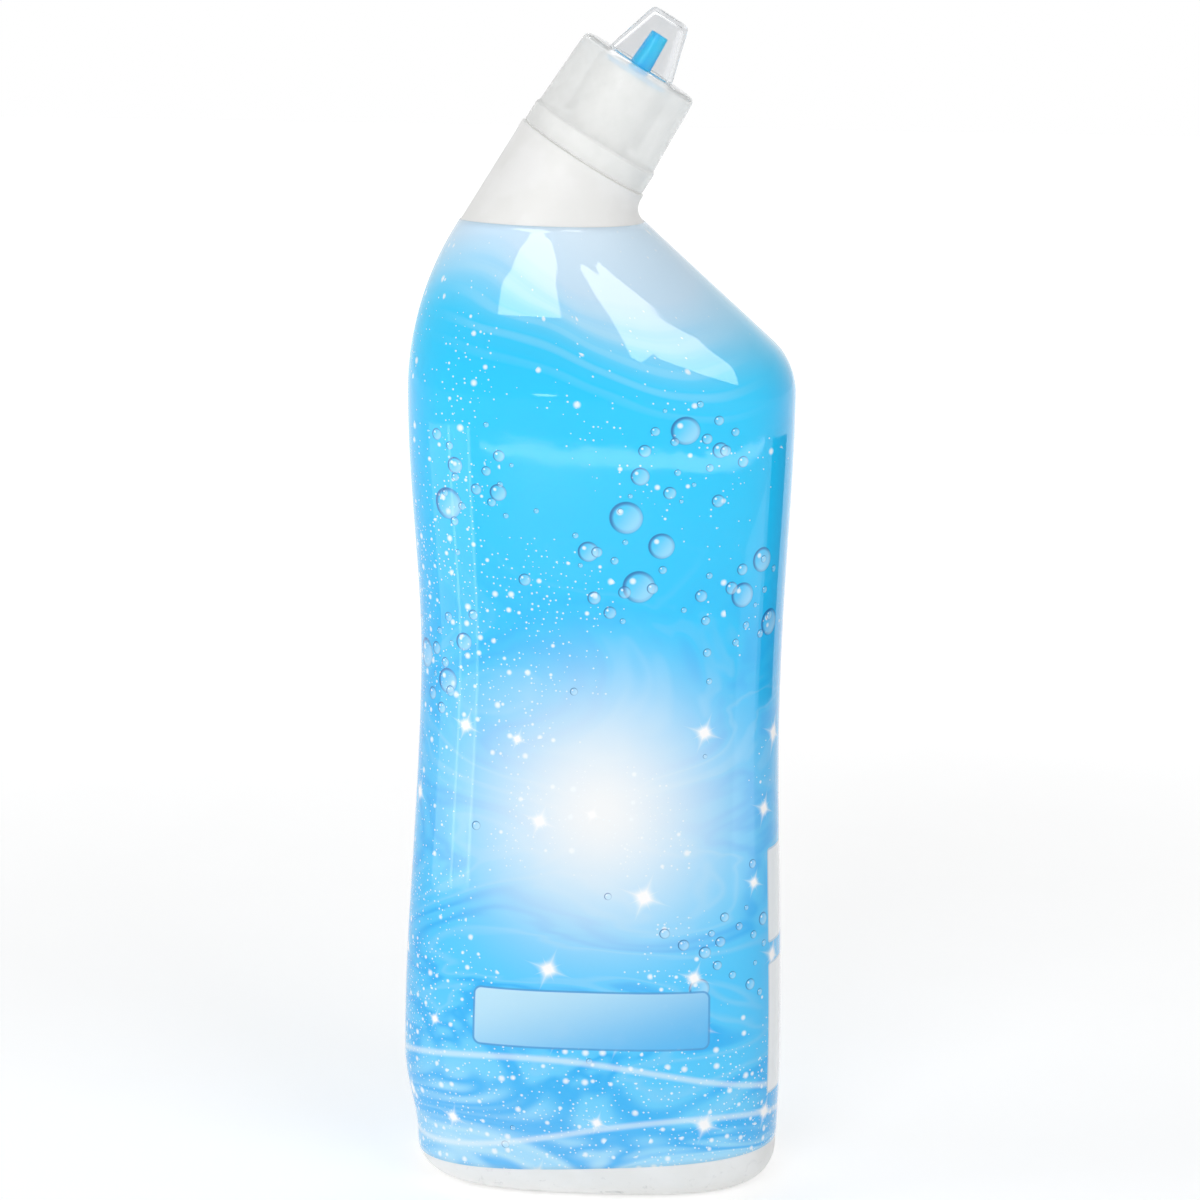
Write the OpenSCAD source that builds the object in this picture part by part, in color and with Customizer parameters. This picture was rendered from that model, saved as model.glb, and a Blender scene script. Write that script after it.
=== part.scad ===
// Squeeze bottle with a leaning neck for toilet gel, standing on its foot.
// +Z is up and +X is the way the neck leans, so -X is the back edge and +X the front edge.
// The origin is the middle of the foot, on the surface that the bottle stands on.

/* [Body] */
// Width at the shoulders, the widest place, along X
body_w = 94.6; // [84:0.2:106]
// Depth at the shoulders, along Y
body_d = 64.6; // [54:0.2:74]
// Height at which the shoulders begin
shoulder_h = 199; // [180:1:220]
// Height of the waist on the front edge and the broad faces
waist_h = 120; // [90:1:150]
// Height of the waist on the back edge
back_waist_h = 133; // [90:1:150]
// Height of the widest place below the waist
hip_h = 32; // [24:1:60]
// How far the waist draws in on the back edge
back_waist_in = 3.6; // [0:0.1:8]
// How far the waist draws in on the front edge
front_waist_in = 2.2; // [0:0.1:8]
// How far the foot draws in on the back edge
back_foot_in = 3.4; // [0:0.1:8]
// How far the foot draws in on the front edge
front_foot_in = 0.4; // [0:0.1:8]
// How far the waist draws in on each broad face
face_waist_in = 1.2; // [0:0.1:5]
// How far the foot draws in on each broad face
face_foot_in = 2; // [0:0.1:5]
// Squareness of the body's plan: 2 is an ellipse, more is squarer
body_power = 2.75; // [2:0.05:4.5]
// Wall thickness of the bottle
wall = 1; // [0.6:0.1:1.6]

/* [Foot] */
// Radius of the rounded edge round the foot
foot_r = 8; // [4:0.5:12]
// Width of the flat rim that the bottle stands on
rim_w = 6; // [3:0.5:12]
// Depth of the push-up in the middle of the foot
push_up = 2.5; // [1:0.5:5]
// Width of the slope between the rim and the push-up
push_up_slope_w = 5; // [2:0.5:8]

/* [Shoulders and neck] */
// Lean of the neck from upright, towards +X
neck_tilt = 31.6; // [26:0.2:36]
// Diameter of the neck at its end, under the cap
neck_d = 34.6; // [34:0.1:40]
// Height of the middle of the neck's end above the shoulders
neck_rise = 56.5; // [54:0.5:64]
// Radius of the curve from the back edge into the neck
back_r = 75.4; // [60:0.2:84]
// Radius of the corner of the front shoulder
shoulder_r = 16; // [8:0.5:24]
// Slope of the front shoulder, measured from level
shoulder_slope = 42; // [38:0.5:46]
// How far the neck's root, where the sleeve ends, lies below the crotch of neck and shoulder
root_drop = 2.5; // [1:0.1:5]
// Depth of the neck's root, along Y
root_d = 38.8; // [35:0.2:46]
// Squareness of the neck's root
root_power = 2.2; // [2:0.1:3]

/* [Neck finish] */
// Diameter of the collar round the foot of the finish
collar_d = 30.9; // [28:0.1:32]
// Height of the collar
collar_h = 6; // [3:0.5:9]
// Outer diameter of the threaded tube, at the root of its thread
finish_d = 15.8; // [13:0.1:19]
// Height of the mouth above the neck's end
finish_h = 23.3; // [18:0.1:28]
// Wall of the threaded tube
finish_wall = 1.7; // [1.2:0.1:2.4]

/* [Sleeve] */
// Height of the sleeve's lower edge at the back
sleeve_back_low = 6.2; // [5:0.1:14]
// Height of the sleeve's lower edge at the front
sleeve_front_low = 11.4; // [5:0.1:14]
// Thickness of the film
film_t = 0.2; // [0.1:0.05:0.4]
// Gap between film and bottle
film_gap = 0.05; // [0.02:0.01:0.1]

/* [Nozzle insert] */
// How far the flange stands out past the tube that it sits on
flange_lip = 0.35; // [0.2:0.05:1]
// Thickness of the flange
flange_t = 1.2; // [0.8:0.1:2]
// Length of the plug below the flange
plug_len = 8; // [4:0.5:12]
// Wall of the plug
plug_wall = 1; // [0.6:0.1:1.5]
// Gap all round between plug and bore
plug_gap = 0.05; // [0.02:0.01:0.1]
// Outer diameter of the spout at its root
spout_root_d = 5.6; // [4.6:0.1:7]
// Outer diameter of the spout at its tip
spout_tip_d = 4.5; // [3.6:0.1:5.6]
// Length of the spout above the flange
spout_len = 10; // [6:0.5:16]
// Diameter of the hole through the spout
jet_d = 1.8; // [1:0.1:3]

/* [Cap] */
// Wall of the skirt
cap_wall = 1.1; // [0.8:0.1:1.6]
// Gap between the cap and what it covers
cap_gap = 0.3; // [0.2:0.05:0.6]
// Height of the raised band round the skirt's lower edge
band_h = 5.2; // [3:0.1:8]
// How far the band stands out
band_step = 0.5; // [0.2:0.1:0.8]
// How far the skirt draws in from the band to its top
skirt_draw = 0.9; // [0:0.1:1.2]
// Thickness of the top plate
plate_t = 1.1; // [0.8:0.1:1.6]
// Radius of the rounded rim of the top plate
cap_rim_r = 1.5; // [0.5:0.1:2.5]
// Outer diameter of the cone at its root
cone_root_d = 17.8; // [17:0.1:22]
// Outer diameter of the cone at its tip
cone_tip_d = 9.8; // [8:0.1:13]
// Wall of the cone
cone_wall = 1.2; // [0.8:0.1:1.6]
// Radius of the rounded edge of the cone's tip
tip_r = 1.1; // [0.4:0.1:1.6]
// Room inside the cone above the spout's tip
tip_room = 4.1; // [1:0.1:8]
// Room between the threaded tube and the inner skirt, for the thread
thread_room = 1; // [0.8:0.1:1.6]
// Wall of the inner skirt
inner_wall = 1.2; // [0.8:0.1:1.8]

/* [Gel] */
// Height of the gel's surface above the shoulders
fill_rise = 20; // [-40:1:30]
// Gap between gel and bottle
gel_gap = 0.3; // [0.2:0.05:0.6]

/* [Hidden] */

// Points round each ring of the bottle and its sleeve, and of the gel
ring_points = 60;
gel_points = 30;
// Height between the rings below the hip, of the body above it, and of the shoulders
hip_step = 6;
body_step = 12;
shoulder_step = 4.2;
// Rings of the rounded foot edge and of the neck
foot_steps = 4;
neck_steps = 6;
// Overlap of solids that are joined or cut
lap = 0.6;
// Segments of every turned surface
$fn = 72;

half_w = body_w / 2;
half_d = body_d / 2;
neck_r = neck_d / 2;
finish_r = finish_d / 2;
bore_r = finish_r - finish_wall;
collar_r = collar_d / 2;
flange_r = finish_r + flange_lip;

// The neck's direction, and the direction across it in the XZ plane
neck_dir = [sin(neck_tilt), cos(neck_tilt)];
neck_across = [cos(neck_tilt), -sin(neck_tilt)];

// The back edge turns by the neck's tilt on one arc and runs on straight along the neck
back_turn = [
    -half_w + back_r * (1 - cos(neck_tilt)),
    shoulder_h + back_r * sin(neck_tilt)
];
neck_back_h = shoulder_h + neck_rise + neck_r * sin(neck_tilt);
neck_back = [back_turn.x + (neck_back_h - back_turn.y) * tan(neck_tilt), neck_back_h];
neck_end = neck_back + neck_r * neck_across;
neck_front = neck_end + neck_r * neck_across;

// The front edge turns on the shoulder's corner and runs on straight down the slope
corner_turn = 90 - shoulder_slope;
slope_start = [
    half_w - shoulder_r * (1 - cos(corner_turn)),
    shoulder_h + shoulder_r * sin(corner_turn)
];

// The crotch is where the slope would meet the neck's front line
slope_run = 1 / tan(shoulder_slope);
crotch_rise = (slope_start.x - neck_front.x + (neck_front.y - slope_start.y) * tan(neck_tilt))
    / (slope_run + tan(neck_tilt));
crotch = slope_start + crotch_rise * [-slope_run, 1];
root_h = crotch.y - root_drop;
fill_h = shoulder_h + fill_rise;
hip_rings = ceil((hip_h - foot_r) / hip_step);
body_rings = ceil((shoulder_h - hip_h) / body_step);
shoulder_rings = ceil((root_h - shoulder_h) / shoulder_step);

function mix(a, b, t) = a + (b - a) * t;
function ease(t) = (1 - cos(180 * t)) / 2;
function between(z, low, high) = ease(min(max((z - low) / (high - low), 0), 1));

// How far an edge or face draws in below the shoulders: at the foot, not at the hip, at the waist
function draw_in(z, foot_in, waist_in, waist) =
    z < hip_h ? mix(foot_in, 0, between(z, foot_r, hip_h))
    : z < waist ? mix(0, waist_in, between(z, hip_h, waist))
    : mix(waist_in, 0, between(z, waist, shoulder_h));

// X of the back edge at a height
function back_x(z) =
    z < shoulder_h ? -half_w + draw_in(z, back_foot_in, back_waist_in, back_waist_h)
    : z < back_turn.y ? -half_w + back_r - sqrt(back_r ^ 2 - (z - shoulder_h) ^ 2)
    : back_turn.x + (z - back_turn.y) * tan(neck_tilt);

// X of the front edge at a height
function front_x(z) =
    z < shoulder_h ? half_w - draw_in(z, front_foot_in, front_waist_in, waist_h)
    : z < slope_start.y ? half_w - shoulder_r + sqrt(shoulder_r ^ 2 - (z - shoulder_h) ^ 2)
    : slope_start.x - (z - slope_start.y) * slope_run;

// Half depth and squareness at a height
function depth_at(z) =
    z < shoulder_h ? half_d - draw_in(z, face_foot_in, face_waist_in, waist_h)
    : mix(half_d, root_d / 2, between(z, shoulder_h, root_h));
function power_at(z) = mix(body_power, root_power, between(z, shoulder_h, root_h));

// A ring is [back point, front point, half depth, squareness], with its points in the XZ plane.
// It grows by grow on every side, and the ring is a superellipse in the plane through both points.
function ring_loop(ring, grow, count) =
    let (
        mid = (ring[0] + ring[1]) / 2,
        reach = norm(ring[1] - ring[0]) / 2,
        along = (ring[1] - ring[0]) / (2 * reach)
    )
    [for (i = [0:count - 1])
        let (
            turn = 360 * i / count,
            u = (reach + grow) * sign(cos(turn)) * abs(cos(turn)) ^ (2 / ring[3]),
            v = (ring[2] + grow) * sign(sin(turn)) * abs(sin(turn)) ^ (2 / ring[3])
        )
        [mid.x + u * along.x, v, mid.y + u * along.y]];

// The level ring at height z, drawn in by inset, with its edge points at height at_z
function level_ring(z, inset, at_z) = [
    [back_x(z) + inset, at_z],
    [front_x(z) - inset, at_z],
    depth_at(z) - inset,
    power_at(z)
];

// Rings of the foot: the push-up, the flat rim and the rounded edge. thick is the wall that they
// stand in from, so 0 is the outside.
function foot_rings(thick) =
    let (rim_in = foot_r + rim_w)
    concat(
        [level_ring(foot_r, rim_in + push_up_slope_w, push_up + thick)],
        [level_ring(foot_r, rim_in, thick)],
        [for (i = [0:foot_steps - 1])
            let (turn = 90 * i / foot_steps)
            level_ring(
                foot_r,
                thick + (foot_r - thick) * (1 - sin(turn)),
                foot_r - (foot_r - thick) * cos(turn)
            )]
    );

// Heights of the rings of the upright body and of the shoulders, up to high
function body_ring_heights(high) = concat(
    [for (i = [0:hip_rings]) mix(foot_r, hip_h, i / hip_rings)],
    [for (i = [1:body_rings]) mix(hip_h, shoulder_h, i / body_rings)],
    [for (i = [1:shoulder_rings])
        let (z = mix(shoulder_h, root_h, i / shoulder_rings))
        if (z < high - shoulder_step / 4) z],
    [high]
);

// Rings of the neck, which fan from level round to the neck's end. drop lowers the last ring
// along the neck.
function neck_rings(drop) =
    let (
        back_low = [back_x(root_h), root_h],
        front_low = [front_x(root_h), root_h],
        back_high = neck_back - drop * neck_dir,
        front_high = neck_front - drop * neck_dir
    )
    [for (i = [1:neck_steps])
        let (t = i / neck_steps)
        [
            mix(back_low, back_high, t),
            mix(mix(front_low, crotch, t), mix(crotch, front_high, t), t),
            mix(root_d / 2, neck_r, ease(t)),
            mix(root_power, 2, t)
        ]];

// Triangles between two loops of count points, numbered from first and from second
function band_faces(first, second, count) = [
    for (i = [0:count - 1])
        let (j = (i + 1) % count)
        each [
            [first + i, second + i, second + j],
            [first + i, second + j, first + j]
        ]
];

// A solid with a skin through closed loops, the first at the bottom
module skin(loops) {
    count = len(loops[0]);
    last = (len(loops) - 1) * count;
    polyhedron(
        points = [for (loop = loops) each loop],
        faces = concat(
            [[for (i = [0:count - 1]) i]],
            [for (k = [0:len(loops) - 2]) each band_faces(k * count, (k + 1) * count, count)],
            [[for (i = [count - 1:-1:0]) last + i]]
        )
    );
}

// A tube whose wall lies between outer and inner loops
module tube_skin(outer, inner) {
    count = len(outer[0]);
    rings = len(outer);
    loops = concat(outer, [for (k = [rings - 1:-1:0]) inner[k]]);
    polyhedron(
        points = [for (loop = loops) each loop],
        faces = [for (k = [0:2 * rings - 1])
            each band_faces(k * count, (k + 1) % (2 * rings) * count, count)]
    );
}

// Puts what is turned about Z onto the neck's end, with Z along the neck
module on_neck() {
    translate([neck_end.x, 0, neck_end.y])
        rotate([0, neck_tilt, 0])
            children();
}

module turned(profile) {
    rotate_extrude()
        polygon(profile);
}

// Rings of the whole container. thick is the wall that they stand in from.
function container_rings(thick) = concat(
    foot_rings(thick),
    [for (z = body_ring_heights(root_h)) level_ring(z, thick, z)],
    [for (ring = neck_rings(thick)) [
        ring[0] + thick * neck_across,
        ring[1] - thick * neck_across,
        ring[2] - thick,
        ring[3]
    ]]
);

function loops_of(rings, grow, count) = [for (ring = rings) ring_loop(ring, grow, count)];

module bottle() {
    color("white")
        difference() {
            union() {
                skin(loops_of(container_rings(0), 0, ring_points));
                on_neck()
                    turned([
                        [0, -lap],
                        [collar_r, -lap],
                        [collar_r, collar_h],
                        [finish_r, collar_h],
                        [finish_r, finish_h],
                        [0, finish_h]
                    ]);
            }
            skin(loops_of(container_rings(wall), 0, ring_points));
            on_neck()
                turned([
                    [0, -wall - lap],
                    [collar_r - wall, -wall - lap],
                    [collar_r - wall, collar_h - wall],
                    [bore_r, collar_h - wall],
                    [bore_r, finish_h + lap],
                    [0, finish_h + lap]
                ]);
        }
}

module sleeve_label() {
    low_ring = [
        [back_x(sleeve_back_low), sleeve_back_low],
        [front_x(sleeve_front_low), sleeve_front_low],
        depth_at((sleeve_back_low + sleeve_front_low) / 2),
        body_power
    ];
    rings = concat(
        [low_ring],
        [for (z = body_ring_heights(root_h))
            if (z > max(sleeve_back_low, sleeve_front_low) + 1) level_ring(z, 0, z)]
    );
    color("deepskyblue")
        tube_skin(
            loops_of(rings, film_gap + film_t, ring_points),
            loops_of(rings, film_gap, ring_points)
        );
}

module nozzle_insert() {
    plug_r = bore_r - plug_gap;
    jet_r = jet_d / 2;
    color("dodgerblue")
        on_neck()
            translate([0, 0, finish_h])
                turned([
                    [plug_r - plug_wall, -plug_len],
                    [plug_r, -plug_len],
                    [plug_r, 0],
                    [flange_r, 0],
                    [flange_r, flange_t],
                    [spout_root_d / 2, flange_t],
                    [spout_tip_d / 2, flange_t + spout_len],
                    [jet_r, flange_t + spout_len],
                    [jet_r, 0],
                    [plug_r - plug_wall, 0]
                ]);
}

// Points of a quarter round from the side of a turned piece to its top
function round_over(r, z, radius) = [
    for (turn = [0:15:90]) [r - radius * (1 - cos(turn)), z - radius * (1 - sin(turn))]
];

module cap() {
    skirt_in_r = collar_r + cap_gap;
    band_r = skirt_in_r + cap_wall;
    skirt_r = band_r - band_step;
    top_r = skirt_r - skirt_draw;
    plate_low = finish_h + flange_t + cap_gap;
    plate_high = plate_low + plate_t;
    cone_in_h = finish_h + flange_t + spout_len + tip_room;
    tip_h = cone_in_h + cone_wall;
    cone_r = cone_root_d / 2;
    tip_out_r = cone_tip_d / 2;
    inner_r = finish_r + thread_room;
    inner_low = collar_h + 2 * wall;
    skirt_in_top_r = top_r - cap_wall;
    color([0.9, 0.93, 0.95, 0.6])
        on_neck()
            turned(concat(
                [
                    [skirt_in_r, cap_gap],
                    [band_r, cap_gap],
                    [band_r, cap_gap + band_h],
                    [skirt_r, cap_gap + band_h + band_step]
                ],
                round_over(top_r, plate_high, cap_rim_r),
                [[cone_r, plate_high]],
                round_over(tip_out_r, tip_h, tip_r),
                [
                    [0, tip_h],
                    [0, cone_in_h],
                    [tip_out_r - cone_wall, cone_in_h],
                    [cone_r - cone_wall, plate_high],
                    [cone_r - cone_wall, plate_low],
                    [inner_r, plate_low],
                    [inner_r, inner_low],
                    [inner_r + inner_wall, inner_low],
                    [inner_r + inner_wall, plate_low],
                    [skirt_in_top_r, plate_low],
                    [skirt_in_r, collar_h + cap_gap]
                ]
            ));
}

module gel() {
    inset = wall + gel_gap;
    rings = concat(
        foot_rings(inset),
        [for (z = body_ring_heights(fill_h)) level_ring(z, inset, z)]
    );
    color("cornflowerblue")
        skin(loops_of(rings, 0, gel_points));
}

bottle();
sleeve_label();
nozzle_insert();
cap();
gel();
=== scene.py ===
import math

import bmesh
import bpy
import numpy as np
from mathutils import Matrix, Vector


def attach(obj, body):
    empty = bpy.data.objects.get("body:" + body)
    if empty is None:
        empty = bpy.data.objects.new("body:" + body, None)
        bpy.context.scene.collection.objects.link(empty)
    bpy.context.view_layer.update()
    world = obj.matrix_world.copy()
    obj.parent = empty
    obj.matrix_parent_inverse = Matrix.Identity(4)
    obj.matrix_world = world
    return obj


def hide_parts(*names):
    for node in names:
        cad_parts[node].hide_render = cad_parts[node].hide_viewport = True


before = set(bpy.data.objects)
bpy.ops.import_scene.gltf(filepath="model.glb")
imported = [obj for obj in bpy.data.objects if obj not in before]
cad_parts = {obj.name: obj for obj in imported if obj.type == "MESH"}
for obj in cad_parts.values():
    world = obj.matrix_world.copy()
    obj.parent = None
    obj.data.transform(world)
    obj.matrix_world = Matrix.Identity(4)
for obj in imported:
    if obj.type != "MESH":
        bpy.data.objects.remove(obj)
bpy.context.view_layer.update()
scene = bpy.context.scene
print("frame loaded:", sorted(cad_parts))

# Sizes are in millimetres, in the frame of the CAD: +Z up, +X the way the neck leans.
millimetre = 0.001
columns = 180  # points round every lofted ring

bodyForm = {
    "width": 94.6, "depth": 64.6, "shoulderHeight": 199.0, "waistHeight": 120.0, "backWaistHeight": 133.0,
    "hipHeight": 32.0, "backWaistIn": 3.6, "frontWaistIn": 2.2, "backFootIn": 3.4, "frontFootIn": 0.4,
    "faceWaistIn": 1.2, "faceFootIn": 2.0, "squareness": 2.75, "wall": 1.0, "footRound": 8.0,
    "rimWidth": 6.0, "pushUp": 2.5, "pushUpSlope": 5.0,
}
neckForm = {
    "tilt": math.radians(31.6), "diameter": 34.6, "rise": 56.5, "backRadius": 75.4, "shoulderRadius": 16.0,
    "shoulderSlope": math.radians(42.0), "rootDrop": 2.5, "rootDepth": 38.8, "rootSquareness": 2.2,
    "endRound": 0.7,
}
finishForm = {"collarDiameter": 30.9, "collarHeight": 6.0, "tubeDiameter": 15.8, "height": 23.3, "wall": 1.7}

# Values that follow from the sizes
halfWidth = bodyForm["width"] / 2
shoulder = bodyForm["shoulderHeight"]
tilt = neckForm["tilt"]
neckRadius = neckForm["diameter"] / 2
neckAlong = np.array([math.sin(tilt), math.cos(tilt)])
neckAcross = np.array([math.cos(tilt), -math.sin(tilt)])
backTurn = np.array([
    -halfWidth + neckForm["backRadius"] * (1 - math.cos(tilt)),
    shoulder + neckForm["backRadius"] * math.sin(tilt),
])
neckBackHeight = shoulder + neckForm["rise"] + neckRadius * math.sin(tilt)
neckBack = np.array([backTurn[0] + (neckBackHeight - backTurn[1]) * math.tan(tilt), neckBackHeight])
neckEnd = neckBack + neckRadius * neckAcross
neckFront = neckEnd + neckRadius * neckAcross
cornerTurn = math.pi / 2 - neckForm["shoulderSlope"]
slopeStart = np.array([
    halfWidth - neckForm["shoulderRadius"] * (1 - math.cos(cornerTurn)),
    shoulder + neckForm["shoulderRadius"] * math.sin(cornerTurn),
])
slopeRun = 1 / math.tan(neckForm["shoulderSlope"])
crotchRise = (
    slopeStart[0] - neckFront[0] + (neckFront[1] - slopeStart[1]) * math.tan(tilt)
) / (slopeRun + math.tan(tilt))
crotch = slopeStart + crotchRise * np.array([-slopeRun, 1])
rootHeight = crotch[1] - neckForm["rootDrop"]


# The share t of the way from a to b
def mix(a, b, t):
    return a + (b - a) * t


# Half a cosine wave, from 0 to 1
def ease(t):
    return (1 - np.cos(np.pi * t)) / 2


# 0 up to low, 1 from high on, eased between them
def between(z, low, high):
    return ease(np.clip((z - low) / (high - low), 0, 1))


# How far an edge or face draws in: at the foot, not at the hip, again at the waist, by half cosines
def drawIn(z, footIn, waistIn, waist):
    hip = bodyForm["hipHeight"]
    low = mix(footIn, 0, between(z, bodyForm["footRound"], hip))
    middle = mix(0, waistIn, between(z, hip, waist))
    high = mix(waistIn, 0, between(z, waist, shoulder))
    return np.where(z < hip, low, np.where(z < waist, middle, high))


# X of the back edge: the drawn-in side, then one arc that leans over, then the neck's straight line
def backEdge(z):
    inwards = drawIn(z, bodyForm["backFootIn"], bodyForm["backWaistIn"], bodyForm["backWaistHeight"])
    side = -halfWidth + inwards
    radius = neckForm["backRadius"]
    rise = np.clip(z - shoulder, 0, radius)
    arc = -halfWidth + radius - np.sqrt(radius ** 2 - rise ** 2)
    line = backTurn[0] + (z - backTurn[1]) * math.tan(tilt)
    return np.where(z < shoulder, side, np.where(z < backTurn[1], arc, line))


# X of the front edge: the drawn-in side, the round shoulder corner, then the straight slope
def frontEdge(z):
    side = halfWidth - drawIn(z, bodyForm["frontFootIn"], bodyForm["frontWaistIn"], bodyForm["waistHeight"])
    radius = neckForm["shoulderRadius"]
    rise = np.clip(z - shoulder, 0, radius)
    arc = halfWidth - radius + np.sqrt(radius ** 2 - rise ** 2)
    line = slopeStart[0] - (z - slopeStart[1]) * slopeRun
    return np.where(z < shoulder, side, np.where(z < slopeStart[1], arc, line))


# Half the depth: the drawn-in face, then eased over the shoulder to the root of the neck
def halfDepth(z):
    half = bodyForm["depth"] / 2
    body = half - drawIn(z, bodyForm["faceFootIn"], bodyForm["faceWaistIn"], bodyForm["waistHeight"])
    high = mix(half, neckForm["rootDepth"] / 2, between(z, shoulder, rootHeight))
    return np.where(z < shoulder, body, high)


# The superellipse's power, the same up the body and eased over the shoulder
def squareness(z):
    return mix(bodyForm["squareness"], neckForm["rootSquareness"], between(z, shoulder, rootHeight))


# A ring table has one row for each ring: back x and z, front x and z, half depth, squareness
def levelRings(z, inset=0.0, height=None):
    z = np.atleast_1d(np.asarray(z, float))
    height = z if height is None else np.broadcast_to(height, z.shape)
    inset = np.broadcast_to(inset, z.shape)
    back, front = backEdge(z) + inset, frontEdge(z) - inset
    return np.column_stack([back, height, front, height, halfDepth(z) - inset, squareness(z)])


# The neck fans from the level root round to its tilted end. Its front line is a quadratic curve that the
# crotch pulls.
def neckRings(count, drop, thick=0.0):
    t = (np.arange(1, count + 1) / count)[:, None]
    backLow = np.array([backEdge(rootHeight), rootHeight])
    frontLow = np.array([frontEdge(rootHeight), rootHeight])
    backHigh, frontHigh = neckBack - drop * neckAlong, neckFront - drop * neckAlong
    back = mix(backLow, backHigh, t) + thick * neckAcross
    front = mix(mix(frontLow, crotch, t), mix(crotch, frontHigh, t), t) - thick * neckAcross
    depth = mix(neckForm["rootDepth"] / 2, neckRadius, ease(t)) - thick
    return np.hstack([back, front, depth, mix(neckForm["rootSquareness"], 2.0, t)])


# Circles about the neck's axis, at radius r and height h above the neck's end
def axisRings(profile):
    r, h = profile[:, :1], profile[:, 1:]
    middle = neckEnd + h * neckAlong
    return np.hstack([middle - r * neckAcross, middle + r * neckAcross, r, np.full_like(r, 2.0)])


# The same ring drawn in to the middle of its line
def ringMiddle(ring):
    middle = ring.copy()
    middle[[0, 2]] = (ring[0] + ring[2]) / 2
    middle[4] = 0
    return middle


# The push-up, the flat rim and the rounded edge of the foot, standing in by thick
def footRings(thick, steps):
    edge, rim = bodyForm["footRound"], bodyForm["footRound"] + bodyForm["rimWidth"]
    slope = rim + bodyForm["pushUpSlope"]
    inset = np.linspace(slope, rim, steps)
    rise = bodyForm["pushUp"] * between(inset, rim, slope) + thick
    turn = np.linspace(0, np.pi / 2, steps + 4)[:-1]
    radius = edge - thick
    corner = levelRings(
        np.full(turn.shape, edge), thick + radius * (1 - np.sin(turn)), edge - radius * np.cos(turn)
    )
    floor = levelRings(np.full(inset.shape, edge), inset, rise)
    share = np.array([0, 0.25, 0.5, 0.75])[:, None]
    return np.vstack([mix(ringMiddle(floor[0]), floor[0], share), floor, corner])


# A profile from corners of radius, height and cut. Each corner becomes a quadratic curve that runs from cut
# before it to cut after it.
def softProfile(corners, steps=5, closed=False):
    corners, cut = np.split(np.asarray(corners, float), [2], axis=1)
    before, after = np.roll(corners, 1, axis=0), np.roll(corners, -1, axis=0)
    if not closed:
        before[0], after[-1] = corners[0], corners[-1]
    lengthBack = np.linalg.norm(before - corners, axis=1, keepdims=True) + 1e-9
    lengthOn = np.linalg.norm(after - corners, axis=1, keepdims=True) + 1e-9
    reachBack, reachOn = np.minimum(cut, 0.45 * lengthBack), np.minimum(cut, 0.45 * lengthOn)
    back, on = (before - corners) / lengthBack, (after - corners) / lengthOn
    t = np.linspace(0, 1, steps)[None, :, None]
    start, end = corners + back * reachBack, corners + on * reachOn
    curve = mix(mix(start[:, None], corners[:, None], t), mix(corners[:, None], end[:, None], t), t)
    leadIn = (corners + back * np.minimum(1.5 * reachBack, 0.48 * lengthBack))[:, None]
    leadOut = (corners + on * np.minimum(1.5 * reachOn, 0.48 * lengthOn))[:, None]
    points = np.concatenate([leadIn, curve, leadOut], axis=1)
    if not closed:
        points[0], points[-1] = corners[0], corners[-1]
    return points.reshape(-1, 2)


# Turns of equal arc round the body's plan, from the middle of the back face round by the back edge
def evenTurns(count):
    planHeight = 100.0
    fine = np.radians(np.linspace(90, 450, 40001))
    loop = ringPoints(levelRings([planHeight]), fine)[0]
    run = np.concatenate([[0], np.cumsum(np.linalg.norm(np.diff(loop, axis=0), axis=1))])
    arc = np.linspace(0, run[-1], count + 1)
    return np.interp(arc, run, fine)[:-1], arc - run[-1] / 2


# The size of a wave to a power, with its sign kept
def signedPower(wave, power):
    return np.sign(wave) * np.abs(wave) ** power


# A ring is a superellipse: u = reach * cos^(2/p), v = depth * sin^(2/p), with the signs kept
def ringPoints(rings, turn):
    rings = np.atleast_2d(rings)
    back, front = rings[:, None, 0:2], rings[:, None, 2:4]
    power, depth = 2 / rings[:, None, 5], rings[:, None, 4]
    middle, half = (back + front) / 2, (front - back) / 2
    u = signedPower(np.cos(turn), power)
    v = depth * signedPower(np.sin(turn), power)
    line = middle + u[..., None] * half
    return np.stack([line[..., 0], v, line[..., 1]], axis=-1)


bodyTurns, bodyArc = evenTurns(columns)
roundTurns = np.radians(90 + 360 * np.arange(96) / 96)


# Links a new object to the scene
def addObject(name, data):
    piece = bpy.data.objects.new(name, data)
    scene.collection.objects.link(piece)
    return piece


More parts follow.
